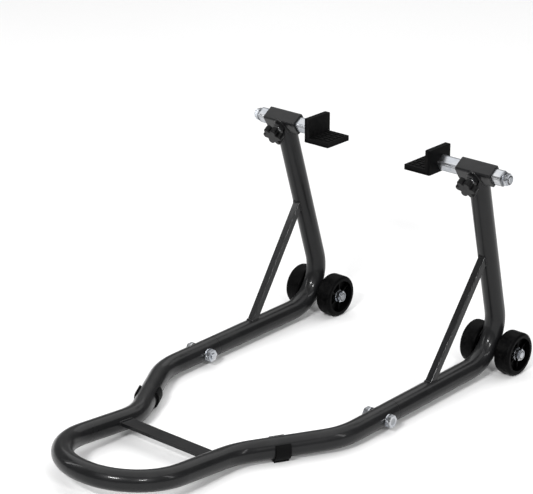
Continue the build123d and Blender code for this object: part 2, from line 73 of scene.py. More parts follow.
# ---------------------------------------------------------------- shader arithmetic
@dataclass(frozen=True)
class Value:
    """A number socket in a node tree, with operators that add Math nodes."""

    bench: "Bench"
    socket: bpy.types.NodeSocket

    def _math(self, operation: str, *terms: "Value | Number") -> "Value":
        """Adds one Math node.

        Args:
            operation: The Math node's operation.
            terms: Its inputs in order, as values or plain numbers.

        Returns:
            The node's result.
        """
        node = self.bench.add("ShaderNodeMath", {"operation": operation}, dict(enumerate(terms)))
        return Value(self.bench, node.outputs[0])

    def __add__(self, other: "Value | Number") -> "Value":
        """Self plus other."""
        return self._math("ADD", self, other)

    def __radd__(self, other: Number) -> "Value":
        """Other plus self."""
        return self._math("ADD", other, self)

    def __sub__(self, other: "Value | Number") -> "Value":
        """Self minus other."""
        return self._math("SUBTRACT", self, other)

    def __rsub__(self, other: Number) -> "Value":
        """Other minus self."""
        return self._math("SUBTRACT", other, self)

    def __mul__(self, other: "Value | Number") -> "Value":
        """Self times other."""
        return self._math("MULTIPLY", self, other)

    def __rmul__(self, other: Number) -> "Value":
        """Other times self."""
        return self._math("MULTIPLY", other, self)

    def __abs__(self) -> "Value":
        """Size of self without its sign."""
        return self._math("ABSOLUTE", self)

    def sine(self) -> "Value":
        """Sine of self, in radians."""
        return self._math("SINE", self)

    def root(self) -> "Value":
        """Square root of self."""
        return self._math("SQRT", self)

    def higher_of(self, other: "Value | Number") -> "Value":
        """The larger of self and other."""
        return self._math("MAXIMUM", self, other)

    def ramp(self, low: float, high: float) -> "Value":
        """Smooth step from 0 at low to 1 at high.

        Args:
            low: Where the step starts. It may be above high for a falling step.
            high: Where the step ends.

        Returns:
            The stepped value, held between 0 and 1.
        """
        start, stop = min(low, high), max(low, high)
        node = self.bench.add(
            "ShaderNodeMapRange",
            {"interpolation_type": "SMOOTHSTEP"},
            {"Value": self, "From Min": start, "From Max": stop},
        )
        step = Value(self.bench, node.outputs["Result"])
        return step if high > low else 1 - step


class Bench:
    """Node tree of one material, with short calls for the nodes it needs."""

    def __init__(self, name: str) -> None:
        """Starts an empty material with a Principled shader.

        Args:
            name: The material's name.
        """
        self.material = bpy.data.materials.new(name)
        self.material.use_nodes = True
        self.tree = self.material.node_tree
        self.shader = self.tree.nodes["Principled BSDF"]
        coordinates = self.tree.nodes.new("ShaderNodeTexCoord")
        self.place = coordinates.outputs["Object"]
        split = self.tree.nodes.new("ShaderNodeSeparateXYZ")
        self.tree.links.new(self.place, split.inputs[0])
        self.axis = {a: Value(self, split.outputs[a.value]) for a in Axis}

    def add(self, kind: str, settings: dict, inputs: dict) -> bpy.types.Node:
        """Adds a node, sets it up and then fills its sockets.

        Args:
            kind: The node's type name.
            settings: Properties to set first. "stops" sets a ramp's stops.
            inputs: Socket names or numbers, each with a value or a link.

        Returns:
            The new node.
        """
        node = self.tree.nodes.new(kind)
        for key, value in settings.items():
            if key == "stops":
                self._fill_ramp(node.color_ramp, value)
            else:
                setattr(node, key, value)
        for key, value in inputs.items():
            self.feed(node.inputs[key], value)
        return node

    def _fill_ramp(self, ramp: bpy.types.ColorRamp, stops: Sequence[tuple[float, Colour]]) -> None:
        """Sets a colour ramp's stops.

        Args:
            ramp: The ramp to fill.
            stops: Positions and colours, lowest first.
        """
        while len(ramp.elements) < len(stops):
            ramp.elements.new(0.5)
        for element, (place, colour) in zip(ramp.elements, stops):
            element.position = place
            element.color = (*colour, 1.0)

    def feed(self, socket: bpy.types.NodeSocket, value: object) -> None:
        """Links or sets one input socket.

        Args:
            socket: The input.
            value: A Value, an output socket, a colour or a number.
        """
        if isinstance(value, Value):
            self.tree.links.new(value.socket, socket)
        elif isinstance(value, bpy.types.NodeSocket):
            self.tree.links.new(value, socket)
        elif isinstance(value, tuple) and len(value) == 3 and socket.type == "RGBA":
            socket.default_value = (*value, 1.0)
        else:
            socket.default_value = value

    def stretched(self, scale: Colour) -> bpy.types.NodeSocket:
        """Object coordinates stretched along the axes.

        Args:
            scale: How much finer the pattern gets along each axis.

        Returns:
            The stretched vector.
        """
        node = self.add("ShaderNodeMapping", {"vector_type": "TEXTURE"}, {"Vector": self.place})
        node.inputs["Scale"].default_value = tuple(1 / s for s in scale)
        return node.outputs["Vector"]

    def noise(self, scale: float, detail: float = 3.0, rough: float = 0.5, vector: object = None) -> Value:
        """Noise on object coordinates.

        Args:
            scale: Lumps per metre.
            detail: Octaves of finer noise.
            rough: How strong the finer noise is.
            vector: Coordinates to use instead of the plain ones.

        Returns:
            The noise, mostly between 0.3 and 0.7.
        """
        node = self.add(
            "ShaderNodeTexNoise",
            {},
            {"Vector": vector or self.place, "Scale": scale, "Detail": detail, "Roughness": rough},
        )
        return Value(self, node.outputs[0])

    def cells(self, scale: float) -> Value:
        """Distance to the nearest of many scattered points.

        Args:
            scale: Points per metre.

        Returns:
            The distance, 0 at each point.
        """
        node = self.add("ShaderNodeTexVoronoi", {}, {"Vector": self.place, "Scale": scale})
        return Value(self, node.outputs["Distance"])

    def facing_up(self) -> Value:
        """How much the surface faces up, from 0 to 1."""
        geometry = self.tree.nodes.new("ShaderNodeNewGeometry")
        split = self.add("ShaderNodeSeparateXYZ", {}, {0: geometry.outputs["Normal"]})
        return Value(self, split.outputs["Z"]).ramp(0.2, 1.0)

    def mix(self, factor: "Value | Number", low: object, high: object) -> bpy.types.NodeSocket:
        """Mixes two colours.

        Args:
            factor: 0 for low, 1 for high.
            low: A colour or a colour socket.
            high: A colour or a colour socket.

        Returns:
            The mixed colour.
        """
        node = self.tree.nodes.new("ShaderNodeMix")
        node.data_type = "RGBA"
        self.feed(node.inputs[0], factor)
        self.feed(node.inputs[6], low)
        self.feed(node.inputs[7], high)
        return node.outputs[2]

    def raise_by(self, height: Value, depth: float, strength: float = 1.0) -> None:
        """Sends a height to the shader's normal.

        Args:
            height: The height, from 0 to 1.
            depth: How far 1 stands up, in metres.
            strength: How strong the bump is.
        """
        bump = self.add("ShaderNodeBump", {}, {"Height": height, "Distance": depth, "Strength": strength})
        self.feed(self.shader.inputs["Normal"], bump.outputs["Normal"])

    def fill(self, **sockets: object) -> None:
        """Feeds the shader's sockets by their names, with _ for a space."""
        for key, value in sockets.items():
            self.feed(self.shader.inputs[key.replace("_", " ")], value)


# ---------------------------------------------------------------- finishes
@dataclass(frozen=True)
class PowderCoat:
    """Black baked powder paint: soft orange peel, light dust on top and a seam line whose groove is darkened
    with painted shade.

    Attributes:
        name: The material's name.
        colour: The paint's colour.
        gloss: The roughness before it varies.
        shine: The specular level under the clear coat.
        coat: How much clear coat there is.
        seam_y: Where two tubes butt together, or None.
        seam_reach: How far from the middle the butted tubes stand.
    """

    name: str
    colour: Colour = (0.0056, 0.0057, 0.0061)
    gloss: float = 0.3
    shine: float = 0.14
    coat: float = 0.22
    seam_y: float | None = None
    seam_reach: float = 0.155

    def make(self) -> bpy.types.Material:
        """Builds the paint's nodes and returns the material."""
        bench = Bench(self.name)
        drift = bench.noise(7.0, 4.0, 0.6)
        peel = bench.noise(520.0, 2.0, 0.5)
        grit = bench.noise(1900.0, 2.0, 0.6)
        dust = bench.facing_up() * bench.noise(38.0, 5.0, 0.65).ramp(0.42, 0.72) * 0.06
        fleck = bench.cells(260.0).ramp(0.055, 0.02) * bench.noise(60.0).ramp(0.56, 0.66)
        pale = tuple(c * 1.5 for c in self.colour)
        paint = bench.mix(drift.ramp(0.3, 0.7), self.colour, pale)
        paint = bench.mix(dust, paint, (0.09, 0.088, 0.084))
        paint = bench.mix(fleck * 0.35, paint, (0.1, 0.1, 0.1))
        rough = drift.ramp(0.25, 0.75) * 0.09 + (self.gloss - 0.03) + dust * 0.9
        height = peel * 0.75 + grit * 0.25
        if self.seam_y is not None:
            near = abs(bench.axis[Axis.Y] - self.seam_y).ramp(0.0011, 0.0003)
            out = abs(bench.axis[Axis.X]).ramp(self.seam_reach, self.seam_reach + 0.002)
            line = near * out
            # painted shade: the seam's gap is darkened in colour; the groove itself is a real dip in the bump
            # below
            paint = bench.mix(line * 0.85, paint, (0.002, 0.002, 0.002))
            height = height - line * 2.4
            rough = rough + line * 0.3
        bench.fill(Base_Color=paint, Roughness=rough, Metallic=0.0, IOR=1.5)
        bench.shader.inputs["Specular IOR Level"].default_value = self.shine
        bench.shader.inputs["Coat Weight"].default_value = self.coat
        bench.shader.inputs["Coat Roughness"].default_value = 0.07
        bench.raise_by(height, 0.00022, 0.45)
        return bench.material


@dataclass(frozen=True)
class ZincPlate:
    """Bright zinc plated steel, drawn along X, with a cloudy passivated film.

    Attributes:
        name: The material's name.
        colour: The metal's colour.
        polish: The roughness before it varies.
        grain: How fine the drawn lines are along each axis.
        rub_from: Half width past which the metal is unrubbed, or None.
        thread: Gives a thread's height and its mask, or None. Its valleys get painted shade.
        insert: Dark nylon ring in a lock nut's crown, or None.
        ridge_reflections: Painted dark reflections, dark lines along a square bar's rounded corners, or None.
    """

    name: str
    colour: Colour = (0.50, 0.508, 0.52)
    polish: float = 0.24
    grain: Colour = (6.0, 420.0, 420.0)
    rub_from: float | None = None
    thread: "Thread | None" = None
    insert: "NylonInsert | None" = None
    ridge_reflections: "RidgeReflectionLines | None" = None

    def make(self) -> bpy.types.Material:
        """Builds the plating's nodes and returns the material."""
        bench = Bench(self.name)
        cloud = bench.noise(46.0, 4.0, 0.62)
        lines = bench.noise(1.0, 3.0, 0.7, bench.stretched(self.grain))
        pits = bench.cells(700.0).ramp(0.12, 0.02) * bench.noise(90.0).ramp(0.55, 0.68)
        cool = tuple(c * k for c, k in zip(self.colour, (0.80, 0.83, 0.88)))
        metal = bench.mix(cloud.ramp(0.32, 0.68), self.colour, cool)
        metal = bench.mix(lines.ramp(0.35, 0.75) * 0.18, metal, (0.42, 0.42, 0.43))
        metal = bench.mix(pits * 0.5, metal, (0.22, 0.22, 0.23))
        rough = cloud.ramp(0.3, 0.7) * 0.12 + lines.ramp(0.3, 0.7) * 0.07 + (self.polish - 0.06) + pits * 0.2
        if self.rub_from is not None:
            rubbed = bench.noise(1.0, 4.0, 0.75, bench.stretched((3.0, 900.0, 900.0))).ramp(0.56, 0.66)
            zone = abs(bench.axis[Axis.X]).ramp(self.rub_from + 0.012, self.rub_from - 0.004)
            metal = bench.mix(rubbed * zone * 0.35, metal, (0.3, 0.3, 0.31))
            rough = rough + rubbed * zone * 0.15
        height = lines * 0.5 - pits * 0.8 + cloud * 0.2
        if self.thread is not None:
            ridge, mask = self.thread.shape(bench)
            height = height * 0.2 + ridge * mask * 3.0
            # painted shade: the colour is darkened in the thread's valleys
            metal = bench.mix((1 - ridge) * mask * 0.6, metal, (0.12, 0.12, 0.12))
        shine: Value | Number = 1.0
        if self.insert is not None:
            ring = self.insert.mask(bench)
            metal = bench.mix(ring, metal, (0.006, 0.006, 0.007))
            rough = rough + ring * 0.2
            shine = 1 - ring
        # painted dark reflections: the colour is darkened in lines along the bar's rounded corners
        if self.ridge_reflections is not None:
            line = self.ridge_reflections.mask(bench)
            metal = bench.mix(line * 0.82, metal, (0.03, 0.03, 0.032))
            rough = rough + line * 0.2
        bench.fill(Base_Color=metal, Roughness=rough, Metallic=shine)
        bench.raise_by(height, 0.00016, 0.5)
        return bench.material


@dataclass(frozen=True)
class NylonInsert:
    """The nylon ring in the crown of a lock nut whose bolt runs along X.

    Attributes:
        through: A point on the bolt's axis, in metres.
        radius: The ring's outer radius.
    """

    through: Vector
    radius: float = 0.0069

    def mask(self, bench: Bench) -> Value:
        """Builds the ring's mask.

        Args:
            bench: The material being built.

        Returns:
            1 on the ring, 0 off it.
        """
        y = bench.axis[Axis.Y] - self.through.y
        z = bench.axis[Axis.Z] - self.through.z
        return (y * y + z * z).root().ramp(self.radius + 0.0002, self.radius - 0.0002)


@dataclass(frozen=True)
class RidgeReflectionLines:
    """Painted dark reflections: dark lines where a square bar's flats turn into its rounded corners.

    Attributes:
        middle: A point on the bar's axis, which runs along X.
        across: A direction square to one of the bar's flats, of length 1.
        reach: How far each line stands from the middle of its flat.
        width: Half the line's width.
    """

    middle: Vector
    across: Vector
    reach: float = 0.0066
    width: float = 0.0007

    def mask(self, bench: Bench) -> Value:
        """Builds the mask of the lines.

        Args:
            bench: The material being built.

        Returns:
            1 on a line, 0 off it.
        """
        y = bench.axis[Axis.Y] - self.middle.y
        z = bench.axis[Axis.Z] - self.middle.z
        first = y * self.across.y + z * self.across.z
        second = y * self.across.z - z * self.across.y
        lines = [
            abs(abs(run) - self.reach).ramp(self.width, self.width * 0.3)
            for run in (first, second)
        ]
        return lines[0].higher_of(lines[1])


@dataclass(frozen=True)
class Thread:
    """A screw thread drawn on a shaft.

    Attributes:
        through: A point on the shaft's axis, in metres. Its X is folded to one side.
        along: The shaft's direction, of length 1.
        radius: The shaft's radius, past which there is no thread.
        pitch: The rise of one turn.
    """

    through: Vector
    along: Vector
    radius: float = 0.0051
    pitch: float = 0.0015

    def shape(self, bench: Bench) -> tuple[Value, Value]:
        """Builds the thread's height and the mask that keeps it on the shaft.

        Args:
            bench: The material being built.

        Returns:
            The height from 0 to 1 and the mask.
        """
        x = abs(bench.axis[Axis.X]) - abs(self.through.x) if self.along.x == 0 else bench.axis[Axis.X]
        y = bench.axis[Axis.Y] - self.through.y
        z = bench.axis[Axis.Z] - self.through.z
        run = x * self.along.x + y * self.along.y + z * self.along.z
        square = y * y + z * z
        if self.along.x == 0:
            square = square + x * x - run * run
        mask = square.higher_of(0.0).root().ramp(self.radius + 0.0004, self.radius)
        ridge = (run * (2 * math.pi / self.pitch)).sine() * 0.5 + 0.5
        return ridge, mask


@dataclass(frozen=True)
class MouldedPlastic:
    """Black moulded nylon: fine spark-eroded skin, a parting line and rolling scuffs.

    Attributes:
        name: The material's name.
        colour: The plastic's colour.
        gloss: The roughness before it varies.
        shine: The specular level.
        centre: Middle of a wheel, for its parting line and its scuffed tread, or None.
        tread: Radius past which the tread is scuffed.
    """

    name: str
    colour: Colour = (0.0009, 0.0009, 0.001)
    gloss: float = 0.42
    shine: float = 0.04
    centre: Vector | None = None
    tread: float = 0.0325

    def make(self) -> bpy.types.Material:
        """Builds the plastic's nodes and returns the material."""
        bench = Bench(self.name)
        drift = bench.noise(22.0, 4.0, 0.6)
        skin = bench.noise(1500.0, 3.0, 0.6)
        flow = bench.noise(1.0, 3.0, 0.6, bench.stretched((60.0, 18.0, 18.0)))
        body = bench.mix(drift.ramp(0.3, 0.7), self.colour, tuple(c * 1.7 for c in self.colour))
        rough = drift.ramp(0.25, 0.75) * 0.1 + flow.ramp(0.3, 0.7) * 0.06 + (self.gloss - 0.08)
        height = skin
        if self.centre is not None:
            y = bench.axis[Axis.Y] - self.centre.y
            z = bench.axis[Axis.Z] - self.centre.z
            radius = (y * y + z * z).root()
            outer = radius.ramp(self.tread, self.tread + 0.0015)
            rubbed = outer * bench.noise(140.0, 5.0, 0.7).ramp(0.42, 0.66)
            parting = abs(bench.axis[Axis.X] - self.centre.x).ramp(0.0006, 0.0001) * outer
            body = bench.mix(rubbed * 0.3, body, (0.012, 0.0117, 0.0114))
            rough = rough + rubbed * 0.22
            height = height + parting * 1.6 - rubbed * 0.5
        bench.fill(Base_Color=body, Roughness=rough, Metallic=0.0, IOR=1.5)
        bench.shader.inputs["Specular IOR Level"].default_value = self.shine
        bench.raise_by(height, 0.00015, 0.5)
        return bench.material


@dataclass(frozen=True)
class Rubber:
    """Black rubber with a matt bloom, fine pores and scuffed high spots.

    Attributes:
        name: The material's name.
        colour: The rubber's colour.
        shine: The specular level.
        worn_above: Height past which the surface is rubbed by what it carries, or None.
        worn_below: Height under which the surface is rubbed by the floor, or None.
    """

    name: str
    colour: Colour = (0.0014, 0.0014, 0.0015)
    shine: float = 0.07
    worn_above: float | None = None
    worn_below: float | None = None

    def make(self) -> bpy.types.Material:
        """Builds the rubber's nodes and returns the material."""
        bench = Bench(self.name)
        bloom = bench.noise(30.0, 5.0, 0.65).ramp(0.38, 0.72)
        pores = bench.cells(1500.0).ramp(0.3, 0.05)
        skin = bench.noise(900.0, 3.0, 0.6)
        body = bench.mix(bloom * 0.55, self.colour, tuple(c * 2.6 for c in self.colour))
        rough = bloom * 0.12 + skin * 0.12 + 0.56
        height = skin * 0.7 - pores * 0.5
        wear = None
        if self.worn_above is not None:
            wear = bench.axis[Axis.Z].ramp(self.worn_above, self.worn_above + 0.0006)
        if self.worn_below is not None:
            wear = bench.axis[Axis.Z].ramp(self.worn_below, self.worn_below - 0.001)
        if wear is not None:
            scuff = wear * bench.noise(170.0, 5.0, 0.7).ramp(0.4, 0.68)
            body = bench.mix(scuff * 0.4, body, (0.014, 0.0137, 0.0134))
            rough = rough + scuff * 0.15
        bench.fill(Base_Color=body, Roughness=rough, Metallic=0.0, IOR=1.5)
        bench.shader.inputs["Specular IOR Level"].default_value = self.shine
        bench.raise_by(height, 0.00018, 0.6)
        return bench.material


@dataclass(frozen=True)
class StudioFloor:
    """Pale matt floor that the stand sits on."""

    name: str = "studio_floor"
    colour: Colour = (0.86, 0.86, 0.86)

    def make(self) -> bpy.types.Material:
        """Builds the floor's nodes and returns the material."""
        bench = Bench(self.name)
        drift = bench.noise(1.2, 2.0, 0.5)
        tone = bench.mix(drift.ramp(0.3, 0.7), self.colour, tuple(c * 0.985 for c in self.colour))
        bench.fill(Base_Color=tone, Roughness=0.75, Metallic=0.0)
        return bench.material


Finish = Union[PowderCoat, ZincPlate, MouldedPlastic, Rubber]


# ---------------------------------------------------------------- workshop helpers
def dress(node: str, finish: Finish) -> None:
    """Gives a CAD node its finish on every material slot.

    Args:
        node: The CAD node's name.
        finish: The finish to make, shared by its name.
    """
    material = bpy.data.materials.get(finish.name) or finish.make()
    for place in frame["nodes"][node].material_slots:
        place.material = material
    LOG.info("%s dressed in %s", node, finish.name)


def start_clean() -> None:
    """Leaves edit mode and deselects everything."""
    if bpy.context.object is not None and bpy.context.object.mode != "OBJECT":
        bpy.ops.object.mode_set(mode="OBJECT")
    bpy.ops.object.select_all(action="DESELECT")


def settle(piece: bpy.types.Object, name: str) -> bpy.types.Object:
    """Names a finished piece and puts its place into its mesh.

    Args:
        piece: The object that was just modelled.
        name: Its name.

    Returns:
        The same object, at the origin.
    """
    start_clean()
    piece.select_set(True)
    bpy.context.view_layer.objects.active = piece
    bpy.ops.object.transform_apply(location=True, rotation=True, scale=True)
    piece.name = name
    piece.data.name = name
    return piece


@dataclass
class WeldBead:
    """A closed, rippled fillet of weld metal laid along a run of points.

    Attributes:
        name: The piece's name.
        run: Points along the bead's centre line, in order round the loop.
        radius: The bead's radius.
        body: The CAD body that it is welded to.
    """

    name: str
    run: list[Vector]
    body: str = "frame"
    radius: float = 0.0017
    sides: int = 10
    ripple: float = 0.22

    def build(self, finish: Finish) -> bpy.types.Object:
        """Models the bead and dresses it.

        Args:
            finish: The paint over the weld.

        Returns:
            The bead.
        """
        start_clean()
        bead = self._lay()
        settle(bead, self.name)
        bpy.ops.object.shade_smooth()
        bead.data.materials.clear()
        bead.data.materials.append(bpy.data.materials.get(finish.name) or finish.make())
        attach(bead, self.body)
        LOG.info("%s laid with %d ripples", self.name, len(self.run) // 2)
        return bead

    def _lay(self) -> bpy.types.Object:
        """Adds one ring at each point of the run, larger and smaller in turn, and bridges them.

        Returns:
            The closed bead.
        """
        bpy.ops.mesh.primitive_circle_add(vertices=self.sides, radius=self.radius)
        bead = bpy.context.object
        bpy.ops.object.mode_set(mode="EDIT")
        bpy.ops.mesh.select_all(action="SELECT")
        bpy.ops.mesh.delete(type="VERT")
        count = len(self.run)
        for i, centre in enumerate(self.run):
            along = (self.run[(i + 1) % count] - self.run[i - 1]).normalized()
            bpy.ops.mesh.primitive_circle_add(
                vertices=self.sides,
                radius=self.radius * (1 + self.ripple * math.cos(math.pi * i)),
                location=centre,
                rotation=along.to_track_quat("Z", "Y").to_euler(),
            )
        bpy.ops.mesh.select_all(action="SELECT")
        bpy.ops.mesh.bridge_edge_loops(type="CLOSED")
        bpy.ops.mesh.select_all(action="SELECT")
        bpy.ops.mesh.normals_make_consistent(inside=False)
        bpy.ops.object.mode_set(mode="OBJECT")
        return bead


def meet_tube(start: Vector, along: Vector, axis_point: Vector, axis: Vector, radius: float) -> Vector:
    """Point where a line first meets a round tube.

    Args:
        start: A point on the line, outside the tube.
        along: The line's direction.
        axis_point: A point on the tube's axis.
        axis: The tube's direction, of length 1.
        radius: The tube's radius.

    Returns:
        The meeting point, or the nearest approach if the line misses.
    """
    gap = start - axis_point
    flat_gap = gap - axis * gap.dot(axis)
    flat_run = along - axis * along.dot(axis)
    a = flat_run.length_squared
    b = 2 * flat_gap.dot(flat_run)
    c = flat_gap.length_squared - radius * radius
    under = max(b * b - 4 * a * c, 0.0)
    return start + along * ((-b - math.sqrt(under)) / (2 * a))


# ---------------------------------------------------------------- sub-assemblies
@dataclass
class TubeFrame:
    """Base tube, crossbar, arms, braces and axle sleeves, with their weld beads."""

    tube_r: float = 0.016
    rail_z: float = 0.0205
    rail_x: float = 0.179
    axle_y: float = 0.35525
    axle_z: float = 0.0345
    heel_r: float = 0.064
    lean: float = math.radians(15.7)
    splay: float = math.radians(1.7)
    brace_w: float = 0.012
    brace_foot_y: float = 0.18575
    brace_head_z: float = 0.198
    loop_x: float = 0.0965
    loop_rise: float = 0.021
    loop_run: float = 0.207
    flare_y: float = -0.16675
    bar_y: float = -0.20575
    bar_lift: float = 0.0035
    bar_w: float = 0.026
    bar_t: float = 0.005
    seam_y: float = 0.09025
    sleeve_r: float = 0.010
    paint: PowderCoat = field(init=False)

    def __post_init__(self) -> None:
        """Makes the frame's paint."""
        self.paint = PowderCoat("frame_powder_coat", seam_y=self.seam_y)

    @property
    def heel_y(self) -> float:
        """Where the rail's and the upright's centre lines would meet."""
        return self.axle_y + 0.012

    def upright_axis(self, side: float) -> tuple[Vector, Vector]:
        """A point on an upright's axis and its direction.

        Args:
            side: -1 for left, 1 for right.

        Returns:
            The heel's corner and the direction up the tube.
        """
        direction = Vector((side * math.tan(self.splay), -math.tan(self.lean), 1.0))
        return Vector((side * self.rail_x, self.heel_y, self.rail_z)), direction.normalized()

    def brace_ends(self, side: float) -> tuple[Vector, Vector]:
        """The brace's centre line on the rail and on the upright."""
        run = self.brace_head_z - self.rail_z
        foot = Vector((side * self.rail_x, self.brace_foot_y, self.rail_z + self.tube_r))
        head_y = self.heel_y - run * math.tan(self.lean) - self.tube_r
        return foot, Vector((side * (self.rail_x + run * math.tan(self.splay)), head_y, self.brace_head_z))

    def square_ring(self, along: Vector, size: Vector, count: int = 44) -> list[Vector]:
        """Rounded rectangle about the origin, square to a direction.

        Args:
            along: The direction that the rectangle faces.
            size: Half width across X and half height, then unused.
            count: How many points to give.

        Returns:
            The points in order.
        """
        across = Vector((1, 0, 0))
        up = along.cross(across).normalized()
        points = []
        for i in range(count):
            t = 2 * math.pi * i / count
            c, s = math.cos(t), math.sin(t)
            fit = 1 / (abs(c) ** 8 + abs(s) ** 8) ** 0.125
            points.append(across * (size.x * c * fit) + up * (size.y * s * fit))
        return points

    def brace_beads(self, word: str, side: float) -> None:
        """Lays the beads at both ends of one brace."""
        foot, head = self.brace_ends(side)
        along = (head - foot).normalized()
        half = Vector((self.brace_w / 2, self.brace_w / 2, 0))
        middle = (foot + head) / 2
        ring = self.square_ring(along, half)
        rail = Vector((side * self.rail_x, 0, self.rail_z)), Vector((0, 1, 0))
        low = [meet_tube(middle + p, -along, *rail, self.tube_r) for p in ring]
        WeldBead(f"{word}_brace_foot_weld", low).build(self.paint)
        high = [meet_tube(middle + p, along, *self.upright_axis(side), self.tube_r) for p in ring]
        WeldBead(f"{word}_brace_head_weld", high).build(self.paint)

    def crossbar_bead(self, word: str, side: float) -> None:
        """Lays the bead where the crossbar meets the loop."""
        slope = self.loop_rise / self.loop_run
        centre_z = self.rail_z + slope * (self.flare_y - self.bar_y)
        axis = Vector((0, -1, slope)).normalized()
        tilt = Vector((0, slope, 1)).normalized()
        length = Vector((0, 1, -slope)).normalized()
        centre = Vector((0, self.bar_y, centre_z)) + Vector((0, 0, self.bar_lift))
        run = []
        for i in range(48):
            t = 2 * math.pi * i / 48
            c, s = math.cos(t), math.sin(t)
            fit = 1 / (abs(c) ** 8 + abs(s) ** 8) ** 0.125
            edge = centre + length * (self.bar_w / 2 * c * fit) + tilt * (self.bar_t / 2 * s * fit)
            tube = Vector((side * self.loop_x, self.bar_y, centre_z)), axis
            run.append(meet_tube(edge, Vector((side, 0, 0)), *tube, self.tube_r))
        WeldBead(f"{word}_crossbar_weld", run).build(self.paint)

    def sleeve_bead(self, word: str, side: float) -> None:
        """Lays the bead where the axle sleeve passes through the heel bend."""
        reach = self.heel_r * math.tan((math.pi / 2 + self.lean) / 2)
        hub = Vector((0, self.heel_y - reach, self.rail_z + self.heel_r))
        near, far = [], []
        for i in range(72):
            t = 2 * math.pi * i / 72
            y = self.axle_y + self.sleeve_r * math.cos(t)
            z = self.axle_z + self.sleeve_r * math.sin(t)
            off = abs(math.hypot(y - hub.y, z - hub.z) - self.heel_r)
            if off < self.tube_r - 0.0004:
                wide = math.sqrt(self.tube_r ** 2 - off ** 2)
                near.append((t, Vector((side * self.rail_x + wide, y, z))))
                far.append((t, Vector((side * self.rail_x - wide, y, z))))
        near.sort(key=lambda entry: (entry[0] + math.pi * 0.25) % (2 * math.pi))
        far.sort(key=lambda entry: (entry[0] + math.pi * 0.25) % (2 * math.pi))
        run = [p for _, p in near] + [p for _, p in reversed(far)]
        WeldBead(f"{word}_sleeve_weld", run, radius=0.0013).build(self.paint)

    def build(self) -> None:
        """Lays the frame's welds."""
        for word, side in SIDES.items():
            self.brace_beads(word, side)
            self.crossbar_bead(word, side)
            self.sleeve_bead(word, side)

    def dress(self) -> None:
        """Paints the tubes."""
        for node in ("base_tube", "crossbar"):
            dress(node, self.paint)
        for word in SIDES:
            for piece in ("arm", "brace", "axle_sleeve"):
                dress(f"{word}_{piece}", self.paint)


@dataclass
class Head:
    """Collar, clamp nut, clamp screw, knob and slide bar on top of each upright."""

    frame: TubeFrame
    head_z: float = 0.349
    turn: float = math.radians(12.0)
    collar_w: float = 0.0254
    nut_bead_r: float = 0.0094

    def axis_point(self, side: float) -> Vector:
        """Middle of the collar, on its axis."""
        run = self.head_z - self.frame.rail_z
        y = self.frame.heel_y - run * math.tan(self.frame.lean)
        return Vector((side * (self.frame.rail_x + run * math.tan(self.frame.splay)), y, self.head_z))

    @property
    def outward(self) -> Vector:
        """Direction in which the clamp screw stands out."""
        dip = math.radians(45.0) - self.turn
        return Vector((0.0, -math.cos(dip), -math.sin(dip)))

    def lower_faces(self) -> list[Vector]:
        """Outward normals of the collar's two lower faces."""
        dip = math.radians(45.0) - self.turn
        return [self.outward, Vector((0.0, math.sin(dip), -math.cos(dip)))]

    def collar_bead(self, word: str, side: float) -> None:
        """Lays the saddle-shaped bead between the upright and the collar."""
        centre = self.axis_point(side)
        point, up = self.frame.upright_axis(side)
        first = Vector((1, 0, 0))
        first = (first - up * first.dot(up)).normalized()
        second = up.cross(first)
        run = []
        for i in range(56):
            t = 2 * math.pi * i / 56
            round_tube = first * (self.frame.tube_r * math.cos(t)) + second * (self.frame.tube_r * math.sin(t))
            wall = point + round_tube
            reach = []
            for face in self.lower_faces():
                slope = up.dot(face)
                if slope < 0:
                    reach.append((self.collar_w / 2 - (wall - centre).dot(face)) / slope)
            run.append(wall + up * max(reach))
        WeldBead(f"{word}_collar_weld", run, radius=0.0019).build(self.frame.paint)

    def nut_bead(self, word: str, side: float) -> None:
        """Lays the bead round the clamp nut's foot."""
        centre = self.axis_point(side) + self.outward * (self.collar_w / 2)
        across = Vector((1, 0, 0))
        over = self.outward.cross(across)
        run = []
        for i in range(36):
            t = 2 * math.pi * i / 36
            run.append(centre + (across * math.cos(t) + over * math.sin(t)) * self.nut_bead_r)
        WeldBead(f"{word}_nut_weld", run, radius=0.0011).build(self.frame.paint)

    def build(self) -> None:
        """Lays the head's welds."""
        for word, side in SIDES.items():
            self.collar_bead(word, side)
            self.nut_bead(word, side)

    def dress(self) -> None:
        """Paints the collars, plates the bars and finishes the knobs."""
        # the slide bar gets painted dark reflections along its rounded corners
        lines = RidgeReflectionLines(self.axis_point(1.0), self.outward)
        bar = ZincPlate("slide_bar_zinc", polish=0.24, rub_from=0.1577, ridge_reflections=lines)
        plug = ZincPlate("bar_plug_steel", colour=(0.3, 0.305, 0.31), polish=0.34)
        knob = MouldedPlastic("knob_nylon", gloss=0.36, shine=0.14)
        screw = ZincPlate(
            "clamp_screw_zinc",
            grain=(420.0, 420.0, 420.0),
            thread=Thread(self.axis_point(1.0), self.outward),
        )
        for word in SIDES:
            dress(f"{word}_collar", self.frame.paint)
            dress(f"{word}_clamp_nut", self.frame.paint)
            dress(f"{word}_slide_bar", bar)
            dress(f"{word}_bar_plug", plug)
            dress(f"{word}_knob", knob)
            dress(f"{word}_clamp_screw", screw)


